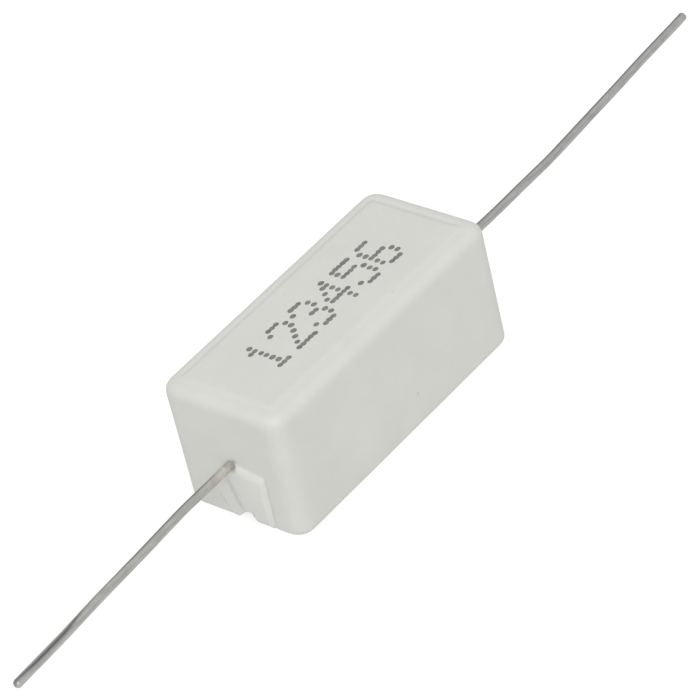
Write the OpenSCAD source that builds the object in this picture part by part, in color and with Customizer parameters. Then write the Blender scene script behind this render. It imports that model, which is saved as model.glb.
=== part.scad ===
// Axial wirewound power resistor in a slotted ceramic case, in millimetres.
// The leads run along X, the open side of the case faces down, and the origin
// is the middle of the case's footprint, on the plane that the rim rests on.
// A wire is wound on a ceramic rod between two pressed caps, each cap carries
// a welded lead, and cement holds that element in the case and plugs its slots.

/* [Case] */
// Length of the ceramic case, along the leads
case_l = 22; // [20:0.5:26]
// Width of the ceramic case
case_w = 9.5; // [9:0.25:11]
// Height of the ceramic case, from its rim to its closed top
case_h = 9.5; // [9:0.25:11]
// Thickness of each long wall
side_wall = 1.2; // [0.9:0.1:1.4]
// Thickness of each end wall
end_wall = 1.4; // [1:0.1:1.8]
// Thickness of the closed top
crown = 1.4; // [1:0.1:1.8]
// Radius of the four upright corners
corner_r = 1.25; // [1.2:0.05:1.6]
// Radius of the edge round the closed top
top_edge_r = 1.1; // [0.5:0.05:1.15]
// Radius of the outer edge round the rim
rim_edge_r = 0.35; // [0.1:0.05:0.45]
// Radius of the cavity's upright corners
cavity_r = 0.8; // [0.4:0.1:1.2]

/* [Slots] */
// Width of the slot in each end wall
slot_w = 5.1; // [4:0.1:5.4]
// Height of the slot above the rim
slot_h = 4.6; // [4:0.1:4.9]
// Radius of the slot's two blind corners
slot_r = 0.5; // [0.3:0.1:1]
// Room round the lead in the seat at the slot's blind end
seat_gap = 0.25; // [0.05:0.05:0.4]

/* [Cement] */
// Radius that the cement's upright outer edges are rounded to in the slots
plug_r = 0.25; // [0.1:0.05:0.6]
// Height over which the cement's top falls back in each slot, in an arc
fall_h = 2; // [1:0.1:3]
// How far it falls back from the end wall's face at the slot's blind end
fall_d = 0.35; // [0.1:0.05:0.5]
// How far the cement round each lead lies behind the end wall's face
seat_back = 0.15; // [0.05:0.05:0.5]
// Width of the shallow side of the seam that each lead leaves in the cement below it
seam_w = 1.5; // [0.5:0.05:1.5]
// Width of the steep side of that seam
seam_steep_w = 0.2; // [0.1:0.05:0.4]
// Depth of that seam
seam_d = 0.25; // [0.1:0.05:0.45]
// How far the seam leans over from upright, in degrees
seam_lean = 20; // [0:1:22]
// How far the seam's foot lies to one side of the lead, at the rim
seam_foot = 0.35; // [0:0.05:0.7]
// Radius of the notch that the seam ends in, at the rim
notch_r = 0.75; // [0.3:0.05:0.9]
// Depth of that notch, behind the end wall's face
notch_d = 0.9; // [0.4:0.1:1.2]

/* [Wound element] */
// Height of the element's axis above the rim
lead_z = 4.55; // [4.3:0.05:4.8]
// Diameter of the ceramic rod
rod_d = 3.4; // [2.6:0.1:4]
// Length of the ceramic rod
rod_l = 14; // [12:0.5:15]
// Diameter of the resistance wire
wire_d = 0.3; // [0.15:0.05:0.4]
// Turns of the resistance wire
turns = 17; // [8:1:18]
// Distance from the rod's end to the first turn's middle
turn_margin = 2.9; // [2.8:0.1:3.4]
// Length of the skirt of each end cap
cap_l = 2.5; // [1.8:0.1:2.6]
// Thickness of each end cap's sheet
cap_t = 0.3; // [0.2:0.05:0.4]

/* [Leads] */
// Diameter of each lead
lead_d = 0.6; // [0.5:0.05:0.8]
// Length of the front lead outside the case
front_lead_l = 21.6; // [15:0.2:40]
// Length of the rear lead outside the case
rear_lead_l = 29.5; // [15:0.5:40]
// Straight stretch of the front lead before its bend
front_bend_at = 4; // [2:0.5:8]
// Straight stretch of the rear lead before its bend
rear_bend_at = 11; // [2:0.5:12]
// Sideways bend of the front lead, in degrees
front_bend = 2.9; // [1:0.1:6]
// Sideways bend of the rear lead, in degrees
rear_bend = 3.5; // [1:0.1:6]
// Radius of each bend, on the lead's axis
bend_r = 25; // [5:1:40]
// Rounding at the cut end of each lead
tip_r = 0.2; // [0.05:0.05:0.2]
// Diameter of the weld that joins each lead to its cap
weld_d = 1.2; // [0.9:0.1:1.6]
// Height of that weld
weld_h = 0.5; // [0.3:0.1:0.8]

/* [Fit] */
// Clearance all round between the element's pieces, and to the cement
fit_gap = 0.01; // [0.01:0.01:0.05]

/* [Hidden] */
$fn = 64;
// How far a cut runs past the face that it opens
over = 0.5;
cavity_l = case_l - 2 * end_wall;
cavity_w = case_w - 2 * side_wall;
cavity_h = case_h - crown;
seat_r = lead_d / 2 + seat_gap;
// Radius of the arc that the cement's top falls back in
fall_r = (fall_h * fall_h + fall_d * fall_d) / (2 * fall_d);
// Height at which the seam ends, just under the lead
seam_top = lead_z - lead_d;
// The element, from its axis outwards and from its middle outwards
coil_r = rod_d / 2 + fit_gap + wire_d / 2;
coil_half = rod_l / 2 - turn_margin;
cap_in_r = rod_d / 2 + fit_gap;
cap_out_r = cap_in_r + cap_t;
cap_mouth = rod_l / 2 + fit_gap - cap_l;
cap_end = rod_l / 2 + fit_gap + cap_t;
weld_start = cap_end + fit_gap;
// Mitred joints that make up each bend, and a length past the end of any lead
bend_joints = 4;
lead_reach = case_l + max(front_lead_l, rear_lead_l);
// The wire's mesh: sides of its section and steps in a turn
wire_sides = 8;
turn_steps = 20;

// Rectangle with round corners, centred
module round_rect(l, w, r) {
    square([l - 2 * r, w], center = true);
    square([l, w - 2 * r], center = true);
    for (x = [-1, 1], y = [-1, 1])
        translate([x * (l / 2 - r), y * (w / 2 - r)])
            circle(r);
}

// Quarter disc beside a square: the section of a rounded corner, from its axis
module corner_section(reach, edge) {
    square([reach - edge, edge]);
    translate([reach - edge, 0])
        intersection() {
            circle(edge);
            square(edge);
        }
}

// Slab as high as the radius of its upper edge, with upright round corners
module edged_slab(l, w, corner, edge) {
    linear_extrude(edge) {
        square([l - 2 * corner, w - 2 * edge], center = true);
        square([l - 2 * edge, w - 2 * corner], center = true);
    }
    for (side = [-1, 1]) {
        translate([0, side * (w / 2 - edge), 0])
            rotate([0, 90, 0])
                cylinder(r = edge, h = l - 2 * corner, center = true);
        translate([side * (l / 2 - edge), 0, 0])
            rotate([90, 0, 0])
                cylinder(r = edge, h = w - 2 * corner, center = true);
    }
    for (x = [-1, 1], y = [-1, 1])
        translate([x * (l / 2 - corner), y * (w / 2 - corner), 0])
            rotate_extrude()
                corner_section(corner, edge);
}

// Turns a drawing of "across, up" to stand across the leads, and extrudes it
module along_leads(from, to) {
    translate([from, 0, 0])
        rotate([90, 0, 90])
            linear_extrude(to - from)
                children();
}

// Puts a shape made for the rear end on both ends
module both_ends() {
    for (turn = [0, 180])
        rotate([0, 0, turn])
            children();
}

// Slot in an end wall, open at the rim: across, up
module slot_outline(below = 0) {
    translate([-slot_w / 2, -below])
        square([slot_w, slot_h - slot_r + below]);
    translate([slot_r - slot_w / 2, 0])
        square([slot_w - 2 * slot_r, slot_h]);
    for (side = [-1, 1])
        translate([side * (slot_w / 2 - slot_r), slot_h - slot_r])
            circle(slot_r);
}

// Seat for the lead at the slot's blind end: across, up
module seat_outline() {
    translate([0, lead_z])
        circle(seat_r);
    translate([-seat_r, slot_h / 2])
        square([2 * seat_r, lead_z - slot_h / 2]);
}

// One pressed and fired tray, open underneath, with a slot in each end wall
module ceramic_case() {
    color("whitesmoke")
        difference() {
            union() {
                translate([0, 0, rim_edge_r])
                    linear_extrude(case_h - rim_edge_r - top_edge_r)
                        round_rect(case_l, case_w, corner_r);
                translate([0, 0, case_h - top_edge_r])
                    edged_slab(case_l, case_w, corner_r, top_edge_r);
                translate([0, 0, rim_edge_r])
                    mirror([0, 0, 1])
                        edged_slab(case_l, case_w, corner_r, rim_edge_r);
            }
            translate([0, 0, -over])
                linear_extrude(cavity_h + over)
                    round_rect(cavity_l, cavity_w, cavity_r);
            both_ends()
                along_leads(cavity_l / 2 - over, case_l / 2 + over) {
                    slot_outline(below = over);
                    seat_outline();
                }
        }
}

// Side view of the cement in both slots: rounded at the rim, falling back at the top
module plug_side() {
    difference() {
        union() {
            translate([-case_l / 2, rim_edge_r])
                square([case_l, slot_h - rim_edge_r]);
            translate([rim_edge_r - case_l / 2, 0])
                square([case_l - 2 * rim_edge_r, slot_h]);
            for (side = [-1, 1])
                translate([side * (case_l / 2 - rim_edge_r), rim_edge_r])
                    circle(rim_edge_r);
        }
        for (flip = [0, 1])
            mirror([flip, 0])
                difference() {
                    translate([case_l / 2 - fall_d, slot_h - fall_h])
                        square([fall_d + over, fall_h + over]);
                    translate([case_l / 2 - fall_r, slot_h - fall_h])
                        circle(fall_r, $fn = 4 * $fn);
                }
    }
}

// The cement's two plugs as one bar, with its upright edges rounded
module plug_bar() {
    intersection() {
        along_leads(-case_l / 2, case_l / 2)
            slot_outline();
        linear_extrude(slot_h)
            round_rect(case_l, slot_w, plug_r);
        translate([0, slot_w / 2, 0])
            rotate([90, 0, 0])
                linear_extrude(slot_w)
                    plug_side();
    }
    both_ends()
        along_leads(0, case_l / 2 - seat_back)
            seat_outline();
}

// Room for the wound element, its caps, its welds and its leads, turned about X
module element_room() {
    translate([0, 0, lead_z])
        rotate([0, 90, 0]) {
            cylinder(r = coil_r + wire_d / 2 + fit_gap, h = 2 * cap_mouth, center = true);
            cylinder(r = lead_d / 2 + fit_gap, h = case_l + 2 * over, center = true);
        }
    both_ends()
        translate([0, 0, lead_z])
            rotate([0, 90, 0]) {
                translate([0, 0, cap_mouth - fit_gap])
                    cylinder(r = cap_out_r + fit_gap, h = cap_end - cap_mouth + 2 * fit_gap);
                translate([0, 0, weld_start])
                    cylinder(r = weld_d / 2 + fit_gap, h = weld_h + fit_gap);
            }
}

// Seam that a lead leaves as it is pushed into the soft cement, drawn from above
module seam() {
    translate([case_l / 2, seam_foot, 0])
        rotate([seam_lean, 0, 0])
            translate([0, 0, -over])
                linear_extrude(case_h)
                    polygon([
                        [over, -seam_w], [0, -seam_w], [-seam_d, 0],
                        [0, seam_steep_w], [over, seam_steep_w]
                    ]);
}

// Notch at the rim, where the cement falls short of the face
module notch() {
    translate([case_l / 2 - notch_d, seam_foot, 0])
        rotate([0, 90, 0])
            cylinder(r = notch_r, h = notch_d + over);
}

// Cement, levelled with the rim, that holds the element and plugs both slots
module cement_filling() {
    color("gainsboro")
        difference() {
            union() {
                linear_extrude(cavity_h)
                    round_rect(cavity_l, cavity_w, cavity_r);
                plug_bar();
            }
            element_room();
            both_ends() {
                intersection() {
                    seam();
                    translate([case_l / 2 - end_wall, -slot_w / 2, -over])
                        cube([end_wall + over, slot_w, seam_top + over]);
                }
                notch();
            }
        }
}

// Ceramic rod that the wire is wound on
module core_rod() {
    color("ivory")
        translate([0, 0, lead_z])
            rotate([0, 90, 0])
                cylinder(d = rod_d, h = rod_l, center = true);
}

// Point of the wire's section, at a turn and an angle round the section
function coil_point(t, a) =
    let (r = coil_r + wire_d / 2 * cos(a), x = coil_half * (2 * t / turns - 1) + wire_d / 2 * sin(a))
    [x, r * sin(360 * t), lead_z + r * cos(360 * t)];

// Wire wound round the rod, swept as one closed mesh
module wound_wire() {
    rings = turns * turn_steps;
    points = [
        for (i = [0:rings], k = [0:wire_sides - 1])
            coil_point(i / turn_steps, 360 * k / wire_sides)
    ];
    walls = [
        for (i = [0:rings - 1], k = [0:wire_sides - 1])
            let (a = i * wire_sides + k, b = i * wire_sides + (k + 1) % wire_sides)
            [a, a + wire_sides, b + wire_sides, b]
    ];
    first = [for (k = [0:wire_sides - 1]) k];
    last = [for (k = [wire_sides - 1:-1:0]) rings * wire_sides + k];
    polyhedron(points, concat(walls, [first, last]), convexity = 10);
}

// Tail of the winding, laid along the rod and welded to the rim of its cap
module wire_tail() {
    tail_start = coil_half - wire_d / 4;
    translate([tail_start, 0, lead_z + coil_r])
        rotate([0, 90, 0])
            cylinder(d = wire_d, h = cap_mouth - fit_gap - tail_start);
}

module resistance_winding() {
    color("darkgray") {
        wound_wire();
        both_ends()
            wire_tail();
    }
}

// Pressed steel cap on the rear end of the rod
module end_cap() {
    translate([0, 0, lead_z])
        rotate([0, 90, 0])
            difference() {
                translate([0, 0, cap_mouth])
                    cylinder(r = cap_out_r, h = cap_end - cap_mouth);
                translate([0, 0, cap_mouth - over])
                    cylinder(r = cap_in_r, h = cap_end - cap_t - cap_mouth + over);
            }
}

module end_cap_front() {
    color("silver")
        rotate([0, 0, 180])
            end_cap();
}

module end_cap_rear() {
    color("silver")
        end_cap();
}

// What lies past a mitre at the origin, its face leant by half the turn there
module past_mitre(turn) {
    lean = lead_d * tan(turn / 2);
    linear_extrude(2 * lead_d, center = true)
        polygon([[-lean, -lead_d], [lead_reach, -lead_d], [lead_reach, lead_d], [lean, lead_d]]);
}

// Round wire along X from "behind" the origin to a mitre at l
module mitred_wire(l, turn, behind) {
    intersection() {
        translate([-behind, 0, 0])
            rotate([0, 90, 0])
                cylinder(d = lead_d, h = behind + l + over);
        translate([l, 0, 0])
            mirror([1, 0, 0])
                past_mitre(turn);
    }
}

// Round wire along X from "behind" the origin to its rounded cut end at l
module cut_wire(l, behind) {
    translate([-behind, 0, 0])
        rotate([0, 90, 0])
            rotate_extrude() {
                square([lead_d / 2, behind + l - tip_r]);
                square([lead_d / 2 - tip_r, behind + l]);
                translate([lead_d / 2 - tip_r, behind + l - tip_r])
                    intersection() {
                        circle(tip_r);
                        square(tip_r);
                    }
            }
}

// Rest of a lead from a joint of its bend on, each length turned from the last
module bent_wire(joints, turn, step, end_l) {
    rotate([0, 0, turn]) {
        intersection() {
            past_mitre(turn);
            if (joints > 1)
                mitred_wire(step, turn, over);
            else
                cut_wire(end_l, over);
        }
        if (joints > 1)
            translate([step, 0, 0])
                bent_wire(joints - 1, turn, step, end_l);
    }
}

// Lead of the rear end: welded foot, straight stretch, one bend, straight end
module lead(outside_l, bend_at, bend) {
    turn = bend / bend_joints;
    step = 2 * bend_r * tan(turn / 2);
    foot_l = case_l / 2 + bend_at + step / 2 - weld_start;
    translate([weld_start, 0, lead_z]) {
        rotate([0, 90, 0])
            cylinder(d1 = weld_d, d2 = lead_d, h = weld_h);
        mitred_wire(foot_l, turn, 0);
        translate([foot_l, 0, 0])
            bent_wire(bend_joints, turn, step, outside_l - bend_at - (bend_joints - 1 / 2) * step);
    }
}

module lead_front() {
    color("lightslategray")
        rotate([0, 0, 180])
            lead(front_lead_l, front_bend_at, front_bend);
}

module lead_rear() {
    color("lightslategray")
        lead(rear_lead_l, rear_bend_at, rear_bend);
}

ceramic_case();
cement_filling();
core_rod();
resistance_winding();
end_cap_front();
end_cap_rear();
lead_front();
lead_rear();
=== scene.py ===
"""Looks of the cement-filled axial resistor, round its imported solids, in metres."""
import math
import random

import bpy
import numpy as np
from mathutils import Matrix, Vector, noise


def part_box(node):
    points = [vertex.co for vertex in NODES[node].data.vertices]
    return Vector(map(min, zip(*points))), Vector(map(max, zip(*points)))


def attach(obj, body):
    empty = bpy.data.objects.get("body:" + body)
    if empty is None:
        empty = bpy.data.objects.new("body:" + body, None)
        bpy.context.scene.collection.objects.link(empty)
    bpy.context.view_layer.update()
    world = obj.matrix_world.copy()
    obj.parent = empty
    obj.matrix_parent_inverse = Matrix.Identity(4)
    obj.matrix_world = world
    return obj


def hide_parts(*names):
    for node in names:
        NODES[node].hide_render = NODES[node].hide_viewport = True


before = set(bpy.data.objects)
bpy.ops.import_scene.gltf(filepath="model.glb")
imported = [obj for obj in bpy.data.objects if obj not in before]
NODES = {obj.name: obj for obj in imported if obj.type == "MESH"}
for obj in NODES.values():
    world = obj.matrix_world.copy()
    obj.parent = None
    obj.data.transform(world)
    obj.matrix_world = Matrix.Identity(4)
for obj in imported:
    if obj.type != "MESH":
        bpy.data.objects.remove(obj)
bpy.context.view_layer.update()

MM = 0.001
TINY = 1e-6
SCENE = bpy.context.scene

# The camera, fitted to the outline of the case in the photograph: its place and clipping in
# metres, its lens and sensor in millimetres
CAMERA_AT = Vector((-0.148054, -0.156356, 0.167737))
CAMERA_RIGHT = Vector((0.60214, -0.77500, -0.19184))
CAMERA_DOWN = Vector((-0.57772, -0.25710, -0.77469))
CAMERA_AHEAD = Vector((0.55106, 0.57730, -0.60254))
CAMERA_LENS = 220.4
CAMERA_SENSOR = 36.0
CAMERA_CLIP = (0.01, 20.0)


def make_camera():
    data = bpy.data.cameras.new("camera")
    data.sensor_width = CAMERA_SENSOR
    data.lens = CAMERA_LENS
    data.clip_start, data.clip_end = CAMERA_CLIP
    camera = bpy.data.objects.new("camera", data)
    SCENE.collection.objects.link(camera)
    turned = Matrix((CAMERA_RIGHT, -CAMERA_DOWN, -CAMERA_AHEAD)).transposed()
    camera.matrix_world = Matrix.Translation(CAMERA_AT) @ turned.to_4x4()
    SCENE.camera = camera


make_camera()
SCENE.view_settings.view_transform = "Standard"

# Sockets of a Mix node that mixes colours
MIX_SHARE = 0
MIX_A = 6
MIX_B = 7
MIX_RESULT = 2


def rgba(tone):
    """Four numbers for a colour, from a grey or from red, green and blue."""
    return (*tone, 1) if hasattr(tone, "__len__") else (tone, tone, tone, 1)


class Shader:
    """The node tree of a material or world, built by calls that return an output socket."""

    def __init__(self, owner, end):
        self.owner = owner
        owner.use_nodes = True
        self.tree = owner.node_tree
        self.tree.nodes.clear()
        self.end = self.tree.nodes.new(end)

    def feed(self, socket, value):
        """Links a socket to another node's output, or sets it to a number or colour."""
        if isinstance(value, bpy.types.NodeSocket):
            self.tree.links.new(value, socket)
        elif socket.type == "RGBA":
            socket.default_value = rgba(value)
        else:
            socket.default_value = value

    def node(self, kind, inputs=None, output=0, **settings):
        n = self.tree.nodes.new(kind)
        for key, value in settings.items():
            setattr(n, key, value)
        for key, value in (inputs or {}).items():
            self.feed(n.inputs[key], value)
        return n.outputs[output]

    def millimetres(self, stretch=(1, 1, 1)):
        """Object coordinates in millimetres, so that a texture's scale is per millimetre."""
        where = self.node("ShaderNodeTexCoord", output="Object")
        scale = [k / MM for k in stretch]
        return self.node("ShaderNodeMapping", {"Vector": where, "Scale": scale})

    def noise(self, where, scale, detail, roughness=0.6):
        values = {"Vector": where, "Scale": scale, "Detail": detail, "Roughness": roughness}
        return self.node("ShaderNodeTexNoise", values, output="Fac")

    def share(self, name):
        """The value that each point of the mesh carries under that name."""
        return self.node("ShaderNodeAttribute", output="Fac", attribute_name=name)

    def ramp(self, value, span, tones):
        """Goes from the first tone to the second as the value crosses the span."""
        n = self.tree.nodes.new("ShaderNodeValToRGB")
        self.tree.links.new(value, n.inputs[0])
        for element, at, tone in zip(n.color_ramp.elements, span, tones):
            element.position = at
            element.color = rgba(tone)
        return n.outputs["Color"]

    def mix(self, share, a, b):
        values = {MIX_SHARE: share, MIX_A: a, MIX_B: b}
        return self.node("ShaderNodeMix", values, output=MIX_RESULT, data_type="RGBA")

    def math(self, kind, a, b):
        return self.node("ShaderNodeMath", {0: a, 1: b}, operation=kind)

    def bump(self, height, depth, strength=1.0, under=None):
        """Bump from a height socket whose range 0 to 1 stands for that depth in millimetres."""
        values = {"Height": height, "Distance": depth * MM, "Strength": strength}
        if under is not None:
            values["Normal"] = under
        return self.node("ShaderNodeBump", values)

    def show(self, shader):
        self.tree.links.new(shader, self.end.inputs["Surface"])
        return self.owner

    def surface(self, **inputs):
        names = {key.replace("_", " "): value for key, value in inputs.items()}
        return self.show(self.node("ShaderNodeBsdfPrincipled", names))


def new_material(name):
    return Shader(bpy.data.materials.new(name), "ShaderNodeOutputMaterial")


# Sizes of the case and its slots, in millimetres, from the frame or as the part states them
CASE_HALF_L, CASE_HALF_W, CASE_TOP = (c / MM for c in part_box("ceramic_case")[1])
END_WALL = 1.4
CAVITY_HALF_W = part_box("cement_filling")[1][1] / MM
CAVITY_R = 0.8
SLOT_HALF_W = 2.55
SLOT_TOP = 4.6
RIM_R = 0.35
LEAD_R = 0.3
LEAD_Z = (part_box("lead_rear")[0][2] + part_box("lead_rear")[1][2]) / 2 / MM

# Slight unevenness of the pressed and fired faces: height and features per millimetre
WAVE_H = 0.012
WAVE_SCALE = 0.28
# How far the noise moves along each axis for each whole seed
SEED_STEP = (1, 1.7, -1)


def ease(low, high, value):
    """0 at low, 1 at high, smooth between them."""
    t = np.clip((np.asarray(value, float) - low) / (high - low), 0, 1)
    return t * t * (3 - 2 * t)


def within(value, start, end):
    """1 between two borders, each a pair for ease."""
    return ease(*start, value) * ease(*end, value)


def bell(value, width):
    """1 at 0, falling off on both sides over that width."""
    return np.exp(-(value / width) ** 2)


def speckle(points, scale, seed=0.0):
    """Smooth noise from -1 to 1 at each point, with that many features per millimetre."""
    shift = Vector([seed * step for step in SEED_STEP])
    return np.array([noise.noise(Vector(p) * scale + shift) for p in points])


# Materials. A pair of tones is the two ends of a cloud or grain, in linear light, and a span is
# the stretch of the noise between them. Scales are features per millimetre, and the heights of
# the skin's bumps are in millimetres.
CLOUD_SPAN = (0.3, 0.7)
CERAMIC_TONES = ((0.662, 0.667, 0.627), (0.690, 0.695, 0.653))
CERAMIC_GRAIN_SPAN = (0.35, 0.6)
CERAMIC_GRAIN_TONES = (0.45, 0.75)
CERAMIC_GRAIN_SHARE = 0.06
CERAMIC_ROUGHNESS_SPAN = (0.3, 0.75)
CERAMIC_ROUGHNESS = (0.50, 0.60)
CERAMIC_IOR = 1.5
SKIN_SWELL_H = 0.012
SKIN_GRAIN_H = 0.006
SPECK_TONE = (0.40, 0.395, 0.36)
SPECK_SHARE = 0.3
SPECK_SCALE = 0.55
SPECK_R = (0.04, 0.10)
SPECK_RARE_SPAN = (0.53, 0.6)
CEMENT_TONES = ((0.690, 0.695, 0.655), (0.735, 0.738, 0.700))
CEMENT_GRAIN_SPAN = (0.3, 0.6)
CEMENT_GRAIN_TONES = (0.45, 0.85)
CEMENT_GRAIN_SHARE = 0.08
CEMENT_GRAIN_H = 0.014
CEMENT_ROUGHNESS = 0.6
# Painted shade on the cement, in its seam, its fold and a spot above right of the lead, mixes toward
# this tone
PAINTED_SHADE_TONE = (0.30, 0.29, 0.26)
DRAWN_STRETCH = (0.05, 1, 1)
WIRE_TONES = ((0.33, 0.33, 0.315), (0.57, 0.57, 0.545))
WIRE_BLOT_TONES = ((0.36, 0.36, 0.345), (0.54, 0.54, 0.51))
WIRE_BLOT_SPAN = (0.35, 0.65)
WIRE_BLOT_SHARE = 0.35
WIRE_ROUGHNESS = (0.36, 0.50)
WIRE_DRAWN_H = 0.012
WIRE_GRAIN_H = 0.006
WIRE_METALLIC = 0.9
WIRE_SPECULAR = 0.5
# The wire's paler, less metallic stretch near the case: its tones, and how much less metallic it is
NEAR_CASE_TONES = ((0.50, 0.47, 0.42), (0.66, 0.64, 0.60))
NEAR_CASE_DULLS = 0.5
# Painted shade along the wire's edge and at its root, with its plain dullness, mixes toward this tone
SHADE_AND_DULL_TONE = (0.085, 0.083, 0.078)
CAP_TONES = ((0.55, 0.54, 0.51), (0.66, 0.65, 0.62))
CAP_ROUGHNESS = 0.32
WINDING_TONES = ((0.30, 0.28, 0.26), (0.42, 0.40, 0.37))
WINDING_ROUGHNESS = 0.38
METAL_GRAIN_H = 0.004
ROD_TONES = ((0.78, 0.75, 0.68), (0.86, 0.83, 0.76))
ROD_ROUGHNESS = 0.65
ROD_GRAIN_H = 0.01
INK_TONES = ((0.150, 0.150, 0.143), (0.25, 0.25, 0.238))
INK_ROUGHNESS = 0.6
INK_IOR = 1.45
INK_BLOT_H = 0.004


def ceramic_material():
    s = new_material("fired_ceramic")
    where = s.millimetres()
    colour, grain = ceramic_colour(s, where)
    skin = ceramic_skin(s, where, grain)
    roughness = ceramic_roughness(s, where)
    return s.surface(Base_Color=colour, Roughness=roughness, Normal=skin, IOR=CERAMIC_IOR)


def ceramic_colour(s, where):
    """Colour with faint clouds, fine grain and rare specks, and the grain for the skin."""
    cloud = s.noise(where, scale=0.35, detail=3.0, roughness=0.55)
    colour = s.ramp(cloud, CLOUD_SPAN, CERAMIC_TONES)
    grain = s.noise(where, scale=9.0, detail=3.0)
    fleck = s.ramp(grain, CERAMIC_GRAIN_SPAN, CERAMIC_GRAIN_TONES)
    colour = s.mix(CERAMIC_GRAIN_SHARE, colour, fleck)
    cells = {"Vector": where, "Scale": SPECK_SCALE}
    spot = s.ramp(s.node("ShaderNodeTexVoronoi", cells, output="Distance"), SPECK_R, (1.0, 0.0))
    rare = s.noise(where, scale=0.31, detail=0.0, roughness=0.5)
    speck = s.math("MULTIPLY", spot, s.ramp(rare, SPECK_RARE_SPAN, (0.0, 1.0)))
    speck = s.math("MULTIPLY", speck, SPECK_SHARE)
    return s.mix(speck, colour, SPECK_TONE), grain


def ceramic_roughness(s, where):
    patch = s.noise(where, scale=2.2, detail=4.0)
    return s.ramp(patch, CERAMIC_ROUGHNESS_SPAN, CERAMIC_ROUGHNESS)


def ceramic_skin(s, where, grain, strength=1.0, under=None):
    swell = s.noise(where, scale=1.1, detail=2.0, roughness=0.5)
    skin = s.bump(swell, SKIN_SWELL_H, strength, under)
    return s.bump(grain, SKIN_GRAIN_H, strength, skin)


def cement_material():
    """Set cement, with the ceramic's own look where a thin film of it runs over the case."""
    s = new_material("set_cement")
    where = s.millimetres()
    cloud = s.noise(where, scale=0.6, detail=4.0)
    colour = s.ramp(cloud, CLOUD_SPAN, CEMENT_TONES)
    grain = s.noise(where, scale=6.0, detail=5.0, roughness=0.7)
    fleck = s.ramp(grain, CEMENT_GRAIN_SPAN, CEMENT_GRAIN_TONES)
    colour = s.mix(CEMENT_GRAIN_SHARE, colour, fleck)
    film = s.share("film")
    film_colour, film_grain = ceramic_colour(s, where)
    # Painted shade: the seam, the fold and a spot above right of the lead are darkened where shade
    # falls
    colour = s.mix(s.share("soil"), s.mix(film, colour, film_colour), PAINTED_SHADE_TONE)
    skin = s.bump(grain, CEMENT_GRAIN_H, s.math("SUBTRACT", 1.0, film))
    skin = ceramic_skin(s, where, film_grain, film, skin)
    roughness = s.mix(film, CEMENT_ROUGHNESS, ceramic_roughness(s, where))
    return s.surface(Base_Color=colour, Roughness=roughness, Normal=skin, IOR=CERAMIC_IOR)


def wire_material():
    """Tinned wire: satin, with die lines along it, painted shade along one edge and at the root over a
    slight dullness, and paler and less metallic near the case.
    """
    s = new_material("tinned_wire")
    drawn = s.noise(s.millimetres(DRAWN_STRETCH), scale=9.0, detail=3.0)
    colour = s.ramp(drawn, CLOUD_SPAN, WIRE_TONES)
    blot = s.noise(s.millimetres(), scale=1.6, detail=4.0, roughness=0.65)
    colour = s.mix(WIRE_BLOT_SHARE, colour, s.ramp(blot, WIRE_BLOT_SPAN, WIRE_BLOT_TONES))
    # Paler and less metallic near the case
    dusty = s.share("dusty")
    patch = s.noise(s.millimetres(), scale=2.4, detail=3.0)
    colour = s.mix(dusty, colour, s.ramp(patch, WIRE_BLOT_SPAN, NEAR_CASE_TONES))
    streak = s.share("streak")
    # Painted shade: darker along one edge and at the root, and a little darker all round
    colour = s.mix(streak, colour, SHADE_AND_DULL_TONE)
    roughness = s.ramp(blot, CLOUD_SPAN, WIRE_ROUGHNESS)
    skin = s.bump(drawn, WIRE_DRAWN_H)
    skin = s.bump(s.noise(s.millimetres(), scale=5.0, detail=2.0), WIRE_GRAIN_H, under=skin)
    clear = s.math("SUBTRACT", 1.0, streak)
    metallic = s.math("SUBTRACT", WIRE_METALLIC, s.math("MULTIPLY", dusty, NEAR_CASE_DULLS))
    return s.surface(Base_Color=colour, Metallic=s.math("MULTIPLY", metallic, clear),
                     Roughness=roughness, Normal=skin,
                     Specular_IOR_Level=s.math("MULTIPLY", WIRE_SPECULAR, clear))


def plain_metal(name, tones, roughness):
    s = new_material(name)
    grain = s.noise(s.millimetres(), scale=4.0, detail=4.0)
    skin = s.bump(grain, METAL_GRAIN_H)
    colour = s.ramp(grain, CLOUD_SPAN, tones)
    return s.surface(Base_Color=colour, Metallic=1.0, Roughness=roughness, Normal=skin)


def rod_material():
    s = new_material("rod_ceramic")
    grain = s.noise(s.millimetres(), scale=5.0, detail=4.0)
    skin = s.bump(grain, ROD_GRAIN_H)
    colour = s.ramp(grain, CLOUD_SPAN, ROD_TONES)
    return s.surface(Base_Color=colour, Roughness=ROD_ROUGHNESS, Normal=skin)


def ink_material():
    s = new_material("grey_ink")
    blot = s.noise(s.millimetres(), scale=3.0, detail=3.0)
    skin = s.bump(blot, INK_BLOT_H)
    colour = s.ramp(blot, CLOUD_SPAN, INK_TONES)
    return s.surface(Base_Color=colour, Roughness=INK_ROUGHNESS, Normal=skin, IOR=INK_IOR)


CERAMIC = ceramic_material()
CEMENT = cement_material()
WIRE = wire_material()
CAP = plain_metal("cap_steel", CAP_TONES, CAP_ROUGHNESS)
NODE_MATERIALS = {
    "ceramic_case": CERAMIC,
    "cement_filling": CEMENT,
    "core_rod": rod_material(),
    "resistance_winding": plain_metal("resistance_wire", WINDING_TONES, WINDING_ROUGHNESS),
    "end_cap_front": CAP,
    "end_cap_rear": CAP,
    "lead_front": WIRE,
    "lead_rear": WIRE,
}


def dress(mesh, material):
    mesh.materials.clear()
    mesh.materials.append(material)


for node, material in NODE_MATERIALS.items():
    dress(NODES[node].data, material)


def add_piece(name, mesh, material, stands_for=None):
    dress(mesh, material)
    mesh.shade_smooth()
    piece = bpy.data.objects.new(name, mesh)
    SCENE.collection.objects.link(piece)
    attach(piece, "root")
    if stands_for:
        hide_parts(stands_for)


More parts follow.
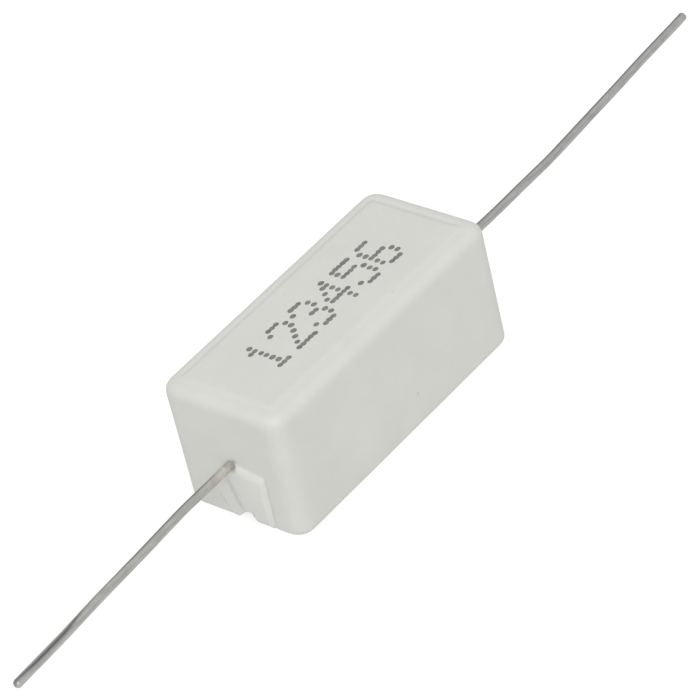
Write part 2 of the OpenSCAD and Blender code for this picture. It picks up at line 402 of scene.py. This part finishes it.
def make_mesh(name, points, faces, **shares):
    """Mesh from points in millimetres, with one named value per point for each share."""
    mesh = bpy.data.meshes.new(name)
    mesh.from_pydata([tuple(p) for p in np.asarray(points) * MM], [], faces)
    for share, values in shares.items():
        layer = mesh.attributes.new(share, "FLOAT", "POINT")
        layer.data.foreach_set("value", np.asarray(values, np.float32))
    return mesh


def grid_faces(rows, columns, start=0, closed=False):
    """Quads of a grid of points laid row by row, closed round each row if asked."""
    faces = []
    for r in range(rows - 1):
        for c in range(columns if closed else columns - 1):
            n = (c + 1) % columns
            a = start + r * columns
            faces.append((a + c, a + n, a + columns + n, a + columns + c))
    return faces


# The case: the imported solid's surface, remeshed, with edges that round as a fired pressing does
CASE_VOXEL = 0.13
SMOOTH_FACTOR = 0.5
SMOOTH_ROUNDS = 4
# Its edges: how far their rounding reaches, and the powers of its curve toward each face
UPRIGHT_REACH = 1.4
UPRIGHT_POWER = 2.6
TOP_REACH = 1.1
TOP_WALL_POWER = 2.0
TOP_FACE_POWER = 3.4
EDGE_FROM = 0.01
# Points this near the skin settle on it, where they face outward squarely enough
SETTLE_WITHIN = 0.4
SETTLE_FACING = (0.45, 0.85)
SETTLE_ROUNDS = 4
SLOPE_STEP = 1e-4
# The punch leaves the middle of the top standing a little above a border round it, with a
# groove between them that is deep on the far sides and faint on the near ones
STEP_H = 0.11
STEP_SPAN = (0.75, 1.28)
GROOVE_H = 0.14
GROOVE_NEAR_SHARE = 0.1
GROOVE_IN = 0.98
GROOVE_HALF_W = 0.22
GROOVE_START = (0.9, 2.0)
GROOVE_FADE = 1.2
GROOVE_MITRE = 0.4
FAR_END_MORE = 0.2


def inside_walls(points, far_end_more=0.0):
    """How far each point lies inside the upright faces, whose corners are round."""
    more = np.where(points[:, 0] > 0, far_end_more, 0.0)
    a = np.clip(1 - (CASE_HALF_L - more - np.abs(points[:, 0])) / UPRIGHT_REACH, TINY, None)
    b = np.clip(1 - (CASE_HALF_W - np.abs(points[:, 1])) / UPRIGHT_REACH, TINY, None)
    return UPRIGHT_REACH * (1 - (a ** UPRIGHT_POWER + b ** UPRIGHT_POWER) ** (1 / UPRIGHT_POWER))


def under_edge(a, b, reach, power_a=2.0, power_b=2.0):
    """Depth under two faces and the round edge between them, from the depth under each face."""
    c = np.clip(1 - a / reach, TINY, None)
    d = np.clip(1 - b / reach, TINY, None)
    mean_power = 2 / (1 / power_a + 1 / power_b)
    curve = (c ** power_a + d ** power_b) ** (1 / mean_power)
    return np.where((c > EDGE_FROM) & (d > EDGE_FROM), reach * (1 - curve), np.minimum(a, b))


def skin_depth(points):
    """How far each point lies inside the case's outer skin, exact on the skin itself."""
    border = inside_walls(points, FAR_END_MORE)
    groove = GROOVE_H * bell(border - GROOVE_IN, GROOVE_HALF_W) * groove_share(points)
    sunk = CASE_TOP - points[:, 2] - STEP_H * (1 - ease(*STEP_SPAN, border)) - groove
    upper = under_edge(inside_walls(points), sunk, TOP_REACH, TOP_WALL_POWER, TOP_FACE_POWER)
    return under_edge(upper, points[:, 2], RIM_R)


def groove_share(points):
    """1 along the far end and the far long side, less along the near ones."""
    x, y = points[:, 0], points[:, 1]
    far_end = ease(GROOVE_MITRE, -GROOVE_MITRE, (CASE_HALF_L - x) - (CASE_HALF_W - y))
    far_end = far_end * ease(*GROOVE_START, y + CASE_HALF_W)
    far_side = ease(-GROOVE_FADE, GROOVE_FADE, y) * ease(*GROOVE_START, x + CASE_HALF_L)
    return GROOVE_NEAR_SHARE + (1 - GROOVE_NEAR_SHARE) * np.maximum(far_end, far_side)


def skin_slope(points):
    """Gradient of skin_depth, which points into the case."""
    columns = []
    for shift in np.eye(3) * SLOPE_STEP:
        rise = skin_depth(points + shift) - skin_depth(points - shift)
        columns.append(rise / (2 * SLOPE_STEP))
    return np.stack(columns, -1)


def settle_on_skin(points, normals):
    """Moves points that lie near the outer skin onto it, and gives it the face's slight waves."""
    for _ in range(SETTLE_ROUNDS):
        depth = skin_depth(points)
        slope = skin_slope(points)
        length = np.maximum(np.linalg.norm(slope, axis=1), TINY)
        outward = -(normals * slope).sum(1) / length
        share = ease(*SETTLE_FACING, outward) * (np.abs(depth) < SETTLE_WITHIN)
        points -= (share * depth / length ** 2)[:, None] * slope
    wave = share * WAVE_H * speckle(points, WAVE_SCALE) / length
    points -= wave[:, None] * slope


def case_shell():
    source = NODES["ceramic_case"]
    copy = bpy.data.objects.new("case_copy", source.data.copy())
    SCENE.collection.objects.link(copy)
    remesh = copy.modifiers.new("even_skin", "REMESH")
    remesh.mode = "VOXEL"
    remesh.voxel_size = CASE_VOXEL * MM
    smooth = copy.modifiers.new("even_edges", "SMOOTH")
    smooth.factor = SMOOTH_FACTOR
    smooth.iterations = SMOOTH_ROUNDS
    bpy.context.view_layer.update()
    evaluated = copy.evaluated_get(bpy.context.evaluated_depsgraph_get())
    mesh = bpy.data.meshes.new_from_object(evaluated)
    bpy.data.objects.remove(copy)
    mesh.name = "case_shell"
    points = np.empty(3 * len(mesh.vertices))
    mesh.vertices.foreach_get("co", points)
    points = points.reshape(-1, 3) / MM
    normals = np.empty(3 * len(mesh.vertices))
    mesh.vertex_normals.foreach_get("vector", normals)
    settle_on_skin(points, normals.reshape(-1, 3))
    mesh.vertices.foreach_set("co", (points * MM).ravel())
    mesh.update()
    add_piece("case_shell", mesh, CERAMIC, "ceramic_case")


case_shell()

# The cement's face in a slot: "across" runs to the right seen from outside, "up" from the rim,
# and a height is how far the cement stands proud of the end wall. A pair says where a change
# starts and where it is complete.
SHEET_REACH = 0.5
SHEET_RISE = 0.8
SHEET_THIN_W = 0.26
FILM_H = 0.004
INTO_WALL = 0.03
WALL_EDGE = (-0.1, 0.05)
WALL_FOOT = (0.35, 0.1)
WALL_FOOT_SINK = 0.03
# The seam under the lead, and the fold and the low face left of it
SEAM_FOOT = 0.40
SEAM_LEAN = 0.28
SEAM_HALF_W = 0.48
# Painted shade along the seam's shaded flank: its strength and width, and where it starts and ends
# going up
SEAM_SHADE = 0.20
SEAM_SHADE_W = 0.30
SEAM_SHADE_FOOT = (0.9, 1.4)
SEAM_SHADE_TOP = (4.0, 3.3)
FOLD_FOOT = -0.85
FOLD_LEAN = 0.5
FOLD_HALF_W = 0.09
FOLD_DEPTH = 0.012
FOLD_DEPTH_W = 0.10
FOLD_WAVES = ((0.05, 9), (0.03, 23))
FOLD_FILM = (0.05, 0.25)
# Painted shade along the fold: its strength and width, and where it starts and ends going up
FOLD_SHADE = 0.5
FOLD_SHADE_W = 0.06
FOLD_SHADE_FOOT = (0.4, 0.6)
FOLD_SHADE_TOP = (1.8, 1.4)
LEFT_H = 0.035
LEFT_RISE = 0.05
LEFT_RISE_SPAN = (0.0, 1.2)
# The lobe right of the seam
LOBE_TOP = 4.86
LOBE_TOP_FALL = 0.17
LOBE_EDGE = 2.43
LOBE_EDGE_LEAN = 0.04
LOBE_ROLL = (-0.2, 0.02)
LOBE_ROLL_POWER = 1.5
LOBE_FILM = (0.05, 0.2)
LOBE_RIM_R = 0.8
LOBE_RIM_END = (-0.3, 0.1)
CREASE_DEPTH = 0.03
CREASE_AT = 0.06
CREASE_W = 0.07
CREASE_START = (0.1, 0.5)
BROW_H = 0.30
BROW_REACH = 0.34
BROW_FILM = (0.0, 0.2)
SWELL_H = 0.09
SWELL_REACH = 0.9
CROWN_AT = 1.3
CROWN_FALL_LEFT = 0.30
CROWN_FALL_RIGHT = 0.12
SAG_FROM = 2.6
SAG_RATE = 0.06
# Film round and above the lead, and a spot of painted shadow to its upper right, standing in for a pit
# that is not modelled
COLLAR = (0.28, 0.55)
LEAD_LINE_SLOPE = 1.077
LEAD_LINE_FILM = (-0.15, 0.2)
LEAD_LINE_END = (0.45, 0.0)
PIT_SHADE = 0.85
PIT_START = (-0.3, 0.1)
PIT_END = (0.9, 0.25)
PIT_TOP = 0.5
PIT_HALF_W = 0.16
# The notch at the rim, and the underside behind it
NOTCH_AT = 0.70
NOTCH_H = 1.13
NOTCH_LEFT_W = 1.35
NOTCH_LEFT_POWER = 1.2
NOTCH_RIGHT_W = 0.45
NOTCH_RIGHT_POWER = 7
NOTCH_DEEP = 0.9
NOTCH_NARROWING = 3
LEVEL_WITHIN = 1e-4
UNDER_H = 0.05
UNDER_SINK = 0.05
UNDER_SINK_SPAN = (0.0, 1.4)
UNDER_SIDE_SHARE = 0.98
# Roughness of the cement: features per millimetre and height of a coarse and a fine grain
FACE_ROUGH = ((1.3, 0.010), (4.0, 0.005))
UNDER_ROUGH = ((0.7, 0.03), (2.2, 0.012))
FRONT_SEED = 1.0
REAR_SEED = 9.0
UNDER_SEEDS = (3.0, 5.0)
# The sheet's hidden back, and the rows and columns of its face
BACK_DEEP = 1.36
BACK_INSET = 0.02
COLUMNS = 100
FACE_ROWS = 76
NOTCH_ROWS = 14
UNDER_ROWS = 110


def from_seam(across, up):
    """How far a place on the face lies right of the seam."""
    return across - (SEAM_FOOT - SEAM_LEAN * up)


def from_fold(across, up):
    """How far it lies right of the fold."""
    return across - (FOLD_FOOT - FOLD_LEAN * up)


def from_lobe_edge(across, up):
    """How far it lies right of the lobe's right edge."""
    return across - (LOBE_EDGE + LOBE_EDGE_LEAN * up)


def below_brow(across, up):
    """How far it lies below the lobe's top."""
    return LOBE_TOP - LOBE_TOP_FALL * across - up


def fold_wander(up):
    """How far the fold's line strays to either side, at each height."""
    return sum(reach * np.sin(rate * up) for reach, rate in FOLD_WAVES)


def right_lobe(across, up):
    """Height of the lobe right of the seam: it swells below its brow and rolls in at its edge."""
    below = np.clip(below_brow(across, up), 0, None)
    swell = BROW_H * (1 - bell(below, BROW_REACH)) + SWELL_H * (1 - bell(below, SWELL_REACH))
    off = across - CROWN_AT
    crown = 1 - np.where(off < 0, CROWN_FALL_LEFT, CROWN_FALL_RIGHT) * (off / CROWN_AT) ** 2
    sag = SAG_RATE * np.clip(SAG_FROM - up, 0, None)
    past = from_lobe_edge(across, up)
    rolled = 1 - ease(*LOBE_ROLL, past) ** LOBE_ROLL_POWER
    crease = CREASE_DEPTH * bell(past - CREASE_AT, CREASE_W) * ease(*CREASE_START, below)
    return (swell * crown - sag) * rolled - crease


def left_lobe(across, up):
    """Height left of the seam: a low step at the fold, and a slight rise toward the seam."""
    past = from_fold(across, up)
    step = LEFT_H * ease(-FOLD_HALF_W, FOLD_HALF_W, past) + LEFT_RISE * ease(*LEFT_RISE_SPAN, past)
    return step - FOLD_DEPTH * bell(past + fold_wander(up), FOLD_DEPTH_W)


def plug_face(across, up):
    """Height of the cement, its share of thin film, and the radius of its edge at the rim."""
    right = ease(-SEAM_HALF_W, SEAM_HALF_W, from_seam(across, up))
    height = left_lobe(across, up) * (1 - right) + right_lobe(across, up) * right
    above_lead = up - SLOT_TOP - LEAD_LINE_SLOPE * across
    over_lead = ease(*LEAD_LINE_FILM, above_lead) * ease(*LEAD_LINE_END, across)
    collar = 1 - ease(*COLLAR, np.hypot(across, up - LEAD_Z))
    beyond_fold = ease(*FOLD_FILM, -from_fold(across, up))
    flush = np.maximum.reduce([beyond_fold, over_lead, collar])
    above_brow = (1 - ease(*BROW_FILM, below_brow(across, up))) * right
    past = from_lobe_edge(across, up)
    film = np.maximum.reduce([flush, ease(*LOBE_FILM, past), above_brow])
    rim_r = RIM_R + (LOBE_RIM_R - RIM_R) * right * (1 - ease(*LOBE_RIM_END, past))
    return height * (1 - flush) + FILM_H * film, film, rim_r


def soiled(across, up):
    """Share of painted shade: along the seam and the fold, and in a spot above right of the lead."""
    seam = SEAM_SHADE * bell(from_seam(across, up), SEAM_SHADE_W)
    seam = seam * within(up, SEAM_SHADE_FOOT, SEAM_SHADE_TOP)
    fold = FOLD_SHADE * bell(from_fold(across, up) + fold_wander(up), FOLD_SHADE_W)
    fold = fold * within(up, FOLD_SHADE_FOOT, FOLD_SHADE_TOP)
    along = (across + up - LEAD_Z) / math.sqrt(2)
    aside = (across - up + LEAD_Z) / math.sqrt(2)
    pit = PIT_SHADE * within(along, PIT_START, PIT_END) * bell(aside, PIT_HALF_W)
    pit = pit * ease(SLOT_TOP + SHEET_RISE, SLOT_TOP + PIT_TOP, up)
    return np.maximum.reduce([seam, fold, pit])


def thinned(across, up):
    """How far the film has thinned out to its border, 0 to 1."""
    side = ease(-SHEET_THIN_W, 0, np.abs(across) - SLOT_HALF_W - SHEET_REACH)
    return np.maximum(side, ease(-SHEET_THIN_W, 0, up - SLOT_TOP - SHEET_RISE))


def notch_top(across):
    """Height of the notch at the rim: a gentle slope on its left, a steep one on its right."""
    left = 1 - np.clip((NOTCH_AT - across) / NOTCH_LEFT_W, 0, 1) ** NOTCH_LEFT_POWER
    right = np.clip((across - NOTCH_AT) / NOTCH_RIGHT_W, 0, 1) ** NOTCH_RIGHT_POWER
    right = (1 - right) ** (1 / NOTCH_RIGHT_POWER)
    return NOTCH_H * np.where(across < NOTCH_AT, left, right)


def rough_face(points, grains, seeds):
    """Unevenness of set cement at each point, from a coarse and a fine grain."""
    return sum(h * speckle(points, scale, seed) for (scale, h), seed in zip(grains, seeds))


def under_level(x, y):
    """Height of the cement's underside: levelled off, a little lower than the walls."""
    to_side = CAVITY_HALF_W - np.abs(y) * UNDER_SIDE_SHARE
    inward = np.minimum(CASE_HALF_L - np.abs(x), to_side)
    points = np.stack([x, y, np.zeros_like(x)], -1).reshape(-1, 3)
    rough = rough_face(points, UNDER_ROUGH, UNDER_SEEDS).reshape(x.shape)
    return UNDER_H + (UNDER_SINK + rough) * ease(*UNDER_SINK_SPAN, inward)


def end_rows(seed):
    """The sheet at the front end, from its top down into the notch: rows of points, film and painted
    shade.
    """
    across = np.linspace(-1, 1, COLUMNS)[None, :] * (SLOT_HALF_W + SHEET_REACH)
    foot = np.maximum(notch_top(across), UNDER_H)
    down = np.linspace(0, 1, FACE_ROWS)[:, None]
    up = (SLOT_TOP + SHEET_RISE) * (1 - down) + foot * down
    across = across + 0 * up
    height, film, rim_r = plug_face(across, up)
    over_wall = ease(*WALL_EDGE, np.abs(across) - SLOT_HALF_W) * ease(*WALL_FOOT, up)
    height = height - 2 * FILM_H * thinned(across, up) - WALL_FOOT_SINK * over_wall
    rim = np.clip(rim_r - up, 0, rim_r)
    depth = rim_r - np.sqrt(rim_r ** 2 - rim ** 2) - height
    points = np.stack([-CASE_HALF_L + depth, -across, up], -1)
    flat = points.reshape(-1, 3)
    rough = rough_face(flat, FACE_ROUGH, (seed, seed)).reshape(depth.shape)
    wave = speckle(flat * (0, 1, 1) - (CASE_HALF_L, 0, 0), WAVE_SCALE).reshape(depth.shape)
    points[..., 0] += rough * (1 - film) - WAVE_H * wave
    inner = notch_rows(points[-1], across[0], foot[0])
    bare = np.zeros(inner.shape[:2])
    film = np.concatenate([film, bare])
    return np.concatenate([points, inner]), film, np.concatenate([soiled(across, up), bare])


def notch_rows(last, across, foot):
    """Rows along the notch's ceiling and down its back wall, from the face's last row."""
    start = CASE_HALF_L + last[:, 0]
    narrow = across * (SLOT_HALF_W + INTO_WALL) / (SLOT_HALF_W + SHEET_REACH)
    level = under_level(np.full_like(across, NOTCH_DEEP - CASE_HALF_L), -narrow)
    ceiling = NOTCH_DEEP - start
    wall = np.abs(foot - level)
    rows = []
    for k in range(1, NOTCH_ROWS + 1):
        gone = (ceiling + wall) * k / NOTCH_ROWS
        inward = np.minimum(gone, ceiling)
        drop = (gone - inward) / np.maximum(wall, TINY)
        z = foot + (level - foot) * np.where(wall > LEVEL_WITHIN, drop, inward / ceiling)
        place = across + (narrow - across) * min(1, NOTCH_NARROWING * k / NOTCH_ROWS)
        rows.append(np.stack([-CASE_HALF_L + start + inward, -place, z], -1))
    return np.array(rows)


def under_rows():
    """Underside between the two notches, as wide as the slots at its ends and the cavity between."""
    end = CASE_HALF_L - NOTCH_DEEP
    x = np.linspace(-end, end, UNDER_ROWS + 2)[1:-1, None]
    inside = np.clip(CASE_HALF_L - END_WALL - np.abs(x), 0, CAVITY_R)
    corner = CAVITY_R - np.sqrt(CAVITY_R ** 2 - (CAVITY_R - inside) ** 2)
    in_slot = np.abs(x) > CASE_HALF_L - END_WALL
    half = np.where(in_slot, SLOT_HALF_W, CAVITY_HALF_W - corner) + INTO_WALL
    y = half * np.linspace(1, -1, COLUMNS)[None, :]
    x = x + 0 * y
    return np.stack([x, y, under_level(x, y)], -1)


def back_rows(count):
    """Left and right points of the sheet's hidden back, spread evenly along its bent path."""
    end = CASE_HALF_L - BACK_DEEP
    path = [(-end, SLOT_TOP), (-end, BACK_DEEP), (end, BACK_DEEP), (end, SLOT_TOP)]
    lengths = np.cumsum([0] + [math.dist(a, b) for a, b in zip(path, path[1:])])
    along = np.linspace(0, lengths[-1], count)
    x = np.interp(along, lengths, [p[0] for p in path])
    z = np.interp(along, lengths, [p[1] for p in path])
    half = SLOT_HALF_W - BACK_INSET
    return np.stack([np.stack([x, np.full(count, y), z], -1) for y in (half, -half)], 1)


def cement_faces(count):
    """Faces of the sheet's front, its two sides, its hidden back and its two ends."""
    faces = grid_faces(count, COLUMNS)
    base = count * COLUMNS
    for r in range(count - 1):
        left, right = base + 2 * r, base + 2 * r + 1
        edge = (r + 1) * COLUMNS - 1
        faces.append((r * COLUMNS, (r + 1) * COLUMNS, left + 2, left))
        faces.append((edge, right, right + 2, edge + COLUMNS))
        faces.append((left, left + 2, right + 2, right))
    for r in (0, count - 1):
        cap = [r * COLUMNS + c for c in range(COLUMNS)] + [base + 2 * r + 1, base + 2 * r]
        faces.append(tuple(reversed(cap) if r == 0 else cap))
    return faces


def cement_body():
    under = under_rows()
    bare = np.zeros(under.shape[:2])
    turned = [part[::-1, ::-1] for part in end_rows(REAR_SEED)]
    turned[0] = turned[0] * (-1, -1, 1)
    parts = zip(end_rows(FRONT_SEED), (under, bare, bare), turned)
    rows, film, soil = (np.concatenate(part) for part in parts)
    count = len(rows)
    points = np.concatenate([rows.reshape(-1, 3), back_rows(count).reshape(-1, 3)])
    bare = np.zeros(2 * count)
    film = np.concatenate([film.ravel(), bare])
    soil = np.concatenate([soil.ravel(), bare])
    # Each point carries its share of film and of painted shade
    mesh = make_mesh("cement_body", points, cement_faces(count), film=film, soil=soil)
    mesh.flip_normals()
    add_piece("cement_body", mesh, CEMENT, "cement_filling")


cement_body()

# The leads: straight, one slight bend, straight, and a tip; lengths in millimetres from the
# case's end, angles in degrees
LEAD_SIDES = 36
LEAD_STEP = 0.15
LEAD_DIGITS = 6
LEAD_INSIDE = 3.6
BEND_R = 25.0
TIP_RINGS = 9
TIP_TURN = 1.45
TIP_POWER = 2.4
FRONT_LEAD = {"outside": 21.6, "bend_at": 4.0, "bend": 2.9, "tip": 0.28, "drop": 0.04}
REAR_LEAD = {"outside": 29.5, "bend_at": 11.0, "bend": 3.5, "tip": 0.2, "drop": 0.08}
# Unevenness of the wire outside the case: its swelling, and its waver with rates per millimetre
WORN_SPAN = (0.3, 2.0)
LEAD_SWELL = 0.02
LEAD_SWELL_SCALE = 1.4
LEAD_SEED = 2.0
LEAD_WAVER = 0.012
WAVER_RATE_Y = 0.83
WAVER_RATE_Z = 0.57
WAVER_PHASE_Z = 1
# Where the wire is paler and less metallic, fading out away from the case
NEAR_CASE_SPAN = (0.3, 4.5)
# Painted shade along one edge: the direction round the wire that it faces, in degrees from +Y up to +Z,
# with its width and strength, the places where they change, a faint second line of it, the shaded root,
# and the dullness all round
STREAK_EDGE = 66.0
STREAK_FACE = 112.0
STREAK_W = 23.0
STREAK_MORE_W = 5.0
STREAK = 0.9
STREAK_START = (0.2, 3.0)
NEAR_TIP = (14.0, 17.0)
AT_TIP = (19.5, 21.3)
AT_TIP_LESS = 0.4
MIDDLE_SPAN = (9.0, 13.0)
MIDDLE_LESS = 0.45
SECOND_FACE = 146.0
SECOND_W = 9.0
SECOND = 0.16
ROOT_SHADE = 0.2
ROOT_SPAN = (1.0, 0.3)
DULL_FRONT = 0.10
DULL_REAR = 0.20


def turn_between(angle, other):
    """Difference of two angles in degrees, from -180 to 180."""
    return (angle - other + 180) % 360 - 180


def lead_streak(along, angle, front):
    """Share of painted shade: thin along one edge, on the front lead broad near its tip, and at the
    root, over a plain dullness.
    """
    broad, strength, base = 0.0, STREAK, DULL_REAR
    if front:
        broad = ease(*NEAR_TIP, along) * (1 - AT_TIP_LESS * ease(*AT_TIP, along))
        strength = STREAK * (1 - MIDDLE_LESS * ease(*MIDDLE_SPAN, along) * (1 - broad))
        base = DULL_FRONT
    towards = STREAK_EDGE + (STREAK_FACE - STREAK_EDGE) * broad
    streak = strength * bell(turn_between(angle, towards), STREAK_W + STREAK_MORE_W * broad)
    second = SECOND * bell(turn_between(angle, SECOND_FACE), SECOND_W)
    share = (base + (1 - base) * np.maximum(streak, second)) * ease(*STREAK_START, along)
    return np.maximum(share, ROOT_SHADE * ease(*ROOT_SPAN, along))


def lead_path(outside, bend_at, bend, tip):
    """Places along a lead from the case's end, with its heading and its middle's x and y there."""
    total = LEAD_INSIDE + outside
    wire = np.arange(0, total - tip, LEAD_STEP)
    end = total - tip * np.cos(np.linspace(0, TIP_TURN, TIP_RINGS))
    along = np.unique(np.round(np.concatenate([wire, end]), LEAD_DIGITS)) - LEAD_INSIDE
    bent = np.clip((along - bend_at) / (BEND_R * math.radians(bend)), 0, 1)
    heading = np.radians(bent * bend)
    step = np.diff(along, prepend=along[0])
    middle = (heading + np.roll(heading, 1)) / 2
    middle[0] = 0
    x = CASE_HALF_L - LEAD_INSIDE + np.cumsum(step * np.cos(middle))
    return along, heading, x, np.cumsum(step * np.sin(middle))


def lead_wire(name, node, outside, bend_at, bend, tip, drop, front):
    along, heading, x, y = lead_path(outside, bend_at, bend, tip)
    rounded = np.clip((along - (outside - tip)) / tip, 0, 1)
    radius = LEAD_R * np.sqrt(np.clip(1 - rounded ** TIP_POWER, 0, 1))
    angles = np.linspace(0, 2 * math.pi, LEAD_SIDES, endpoint=False)
    rings = []
    for turn, r in zip(heading, radius):
        ring = np.outer(np.cos(angles), (-math.sin(turn), math.cos(turn), 0))
        rings.append(r * (ring + np.outer(np.sin(angles), (0, 0, 1))))
    centre = np.repeat(np.stack([x, y, np.full_like(x, LEAD_Z)], -1), LEAD_SIDES, 0)
    ring = np.array(rings).reshape(-1, 3)
    place = np.repeat(along, LEAD_SIDES)
    worn = ease(*WORN_SPAN, place)
    swell = LEAD_SWELL * speckle(centre + ring, LEAD_SWELL_SCALE, LEAD_SEED) * worn
    points = centre + ring * (1 + swell)[:, None]
    points[:, 1] += worn * LEAD_WAVER * np.sin(place * WAVER_RATE_Y)
    points[:, 2] += worn * (LEAD_WAVER * np.sin(place * WAVER_RATE_Z + WAVER_PHASE_Z) - drop)
    facing = np.degrees(np.tile(angles, len(along)))
    if front:
        points = points * (-1, -1, 1)
        facing = 180.0 - facing
    faces = grid_faces(len(along), LEAD_SIDES, closed=True)
    faces.append(tuple(reversed(range(LEAD_SIDES))))
    faces.append(tuple(range(len(points) - LEAD_SIDES, len(points))))
    # Share of painted shade along one edge and at the root, over a plain dullness
    streak = lead_streak(place, facing, front)
    mesh = make_mesh(name, points, faces, streak=streak, dusty=1 - ease(*NEAR_CASE_SPAN, place))
    add_piece(name, mesh, WIRE, node)


lead_wire("front_lead_wire", "lead_front", **FRONT_LEAD, front=True)
lead_wire("rear_lead_wire", "lead_rear", **REAR_LEAD, front=False)

# Plain digits as a dot printer sets them, five dots wide and seven high
DIGITS = {
    "1": ("00100", "01100", "00100", "00100", "00100", "00100", "01110"),
    "2": ("01110", "10001", "00001", "00010", "00100", "01000", "11111"),
    "3": ("01110", "10001", "00001", "00110", "00001", "10001", "01110"),
    "4": ("00010", "00110", "01010", "10010", "11111", "00010", "00010"),
    "5": ("11111", "10000", "11110", "00001", "00001", "10001", "01110"),
    "6": ("01110", "10000", "10000", "11110", "10001", "10001", "01110"),
}
MIDDLE_COLUMN = 2
MIDDLE_ROW = 3
MARKING = "123456"
MARKING_SEED = 7
MARKING_MIDDLE = Vector((-0.28, -0.22))
MARKING_TURN = math.radians(-0.7)
GLYPH_PITCH = 2.26
DOT_PITCH = (0.375, 0.477)
DOT_HALF = (0.225, 0.182)
DOT_WANDER = 0.02
DOT_SIZES = (0.92, 1.08)
DOT_SIDES = 24
DOT_RAGGED = 0.10
DOT_RAGGED_SCALE = 3
# Rings of a dot from its hidden foot to its top: share of its size, and of the ink's height
INK_H = 0.012
DOT_RINGS = ((1.0, -1.5), (1.0, 0.3), (0.8, 0.8), (0.45, 1.0))


def marking_dots():
    """Middle and size of each printed dot on the top, in millimetres."""
    wander = random.Random(MARKING_SEED)
    turn = Matrix.Rotation(MARKING_TURN, 2)
    first = -GLYPH_PITCH * (len(MARKING) - 1) / 2
    for g, digit in enumerate(MARKING):
        for row, line in enumerate(DIGITS[digit]):
            for column, dot in enumerate(line):
                if dot == "1":
                    x = first + g * GLYPH_PITCH + (column - MIDDLE_COLUMN) * DOT_PITCH[0]
                    x += wander.uniform(-DOT_WANDER, DOT_WANDER)
                    y = (MIDDLE_ROW - row) * DOT_PITCH[1] + wander.uniform(-DOT_WANDER, DOT_WANDER)
                    yield turn @ Vector((x, y)) + MARKING_MIDDLE, wander.uniform(*DOT_SIZES)


def ink_dots():
    points, faces = [], []
    angles = [2 * math.pi * k / DOT_SIDES for k in range(DOT_SIDES)]
    around = [(math.cos(a), math.sin(a)) for a in angles]
    for middle, size in marking_dots():
        base = len(points)
        for share, lift in DOT_RINGS:
            for x, y in around:
                at = (middle.x * DOT_RAGGED_SCALE + x, middle.y * DOT_RAGGED_SCALE + y, 0)
                reach = size * share * (1 + DOT_RAGGED * noise.noise(Vector(at)))
                points.append((middle.x + DOT_HALF[0] * reach * x,
                               middle.y + DOT_HALF[1] * reach * y, CASE_TOP + INK_H * lift))
        faces += grid_faces(len(DOT_RINGS), DOT_SIDES, base, closed=True)
        faces.append(tuple(range(len(points) - DOT_SIDES, len(points))))
        faces.append(tuple(base + k for k in reversed(range(DOT_SIDES))))
    points = np.array(points)
    points[:, 2] += WAVE_H * speckle(points * (1, 1, 0) + (0, 0, CASE_TOP), WAVE_SCALE)
    add_piece("marking_ink", make_mesh("marking_ink", points, faces), ink_material())


ink_dots()

# The studio, in metres: a floor just under the object, an even sky and one softbox. What the
# floor shows and what it throws back at the object are set apart.
FLOOR_HALF = 3.0
FLOOR_Z = -1e-5
FLOOR_TONES = (0.34, 0.36)
FLOOR_GLOW = 0.76
FLOOR_BOUNCE = 0.7
SKY = 0.72
KEY_AIM = Vector((0, 0, 0.0045))
KEY_TOWARD = Vector((-0.55, -0.58, 0.70))
KEY_DISTANCE = 0.7
KEY_SIZE = 0.4
KEY_POWER = 1.95


def seen_share(s):
    """1 for the rays that show the background: camera, glossy and transmission rays."""
    path = s.tree.nodes.new("ShaderNodeLightPath")
    both = s.math("MAXIMUM", path.outputs["Is Camera Ray"], path.outputs["Is Glossy Ray"])
    return s.math("MAXIMUM", both, path.outputs["Is Transmission Ray"])


def floor_material():
    s = new_material("pale_floor")
    cloud = s.noise(s.millimetres(), scale=0.02, detail=3.0)
    seen = s.node("ShaderNodeBsdfDiffuse", {"Color": s.ramp(cloud, CLOUD_SPAN, FLOOR_TONES)})
    glow = s.node("ShaderNodeEmission", {"Color": 1.0, "Strength": FLOOR_GLOW})
    shown = s.node("ShaderNodeAddShader", {0: seen, 1: glow})
    bounce = s.node("ShaderNodeBsdfDiffuse", {"Color": FLOOR_BOUNCE})
    above = s.node("ShaderNodeMixShader", {0: seen_share(s), 1: bounce, 2: shown})
    behind = s.node("ShaderNodeNewGeometry", output="Backfacing")
    clear = s.node("ShaderNodeBsdfTransparent")
    return s.show(s.node("ShaderNodeMixShader", {0: behind, 1: above, 2: clear}))


def make_floor():
    corners = [(x * FLOOR_HALF, y * FLOOR_HALF, FLOOR_Z)
               for x, y in ((-1, -1), (1, -1), (1, 1), (-1, 1))]
    mesh = bpy.data.meshes.new("floor")
    mesh.from_pydata(corners, [], [(0, 1, 2, 3)])
    mesh.materials.append(floor_material())
    floor = bpy.data.objects.new("floor", mesh)
    SCENE.collection.objects.link(floor)


def make_world():
    s = Shader(bpy.data.worlds.new("studio"), "ShaderNodeOutputWorld")
    soft = s.node("ShaderNodeBackground", {"Color": 1.0, "Strength": SKY})
    white = s.node("ShaderNodeBackground", {"Color": 1.0, "Strength": 1.0})
    SCENE.world = s.show(s.node("ShaderNodeMixShader", {0: seen_share(s), 1: soft, 2: white}))


def make_softbox():
    data = bpy.data.lights.new("key", "AREA")
    data.shape = "SQUARE"
    data.size = KEY_SIZE
    data.energy = KEY_POWER
    lamp = bpy.data.objects.new("key", data)
    SCENE.collection.objects.link(lamp)
    toward = KEY_TOWARD.normalized()
    lamp.location = KEY_AIM + toward * KEY_DISTANCE
    lamp.rotation_mode = "QUATERNION"
    lamp.rotation_quaternion = (-toward).to_track_quat("-Z", "Y")


make_floor()
make_world()
make_softbox()
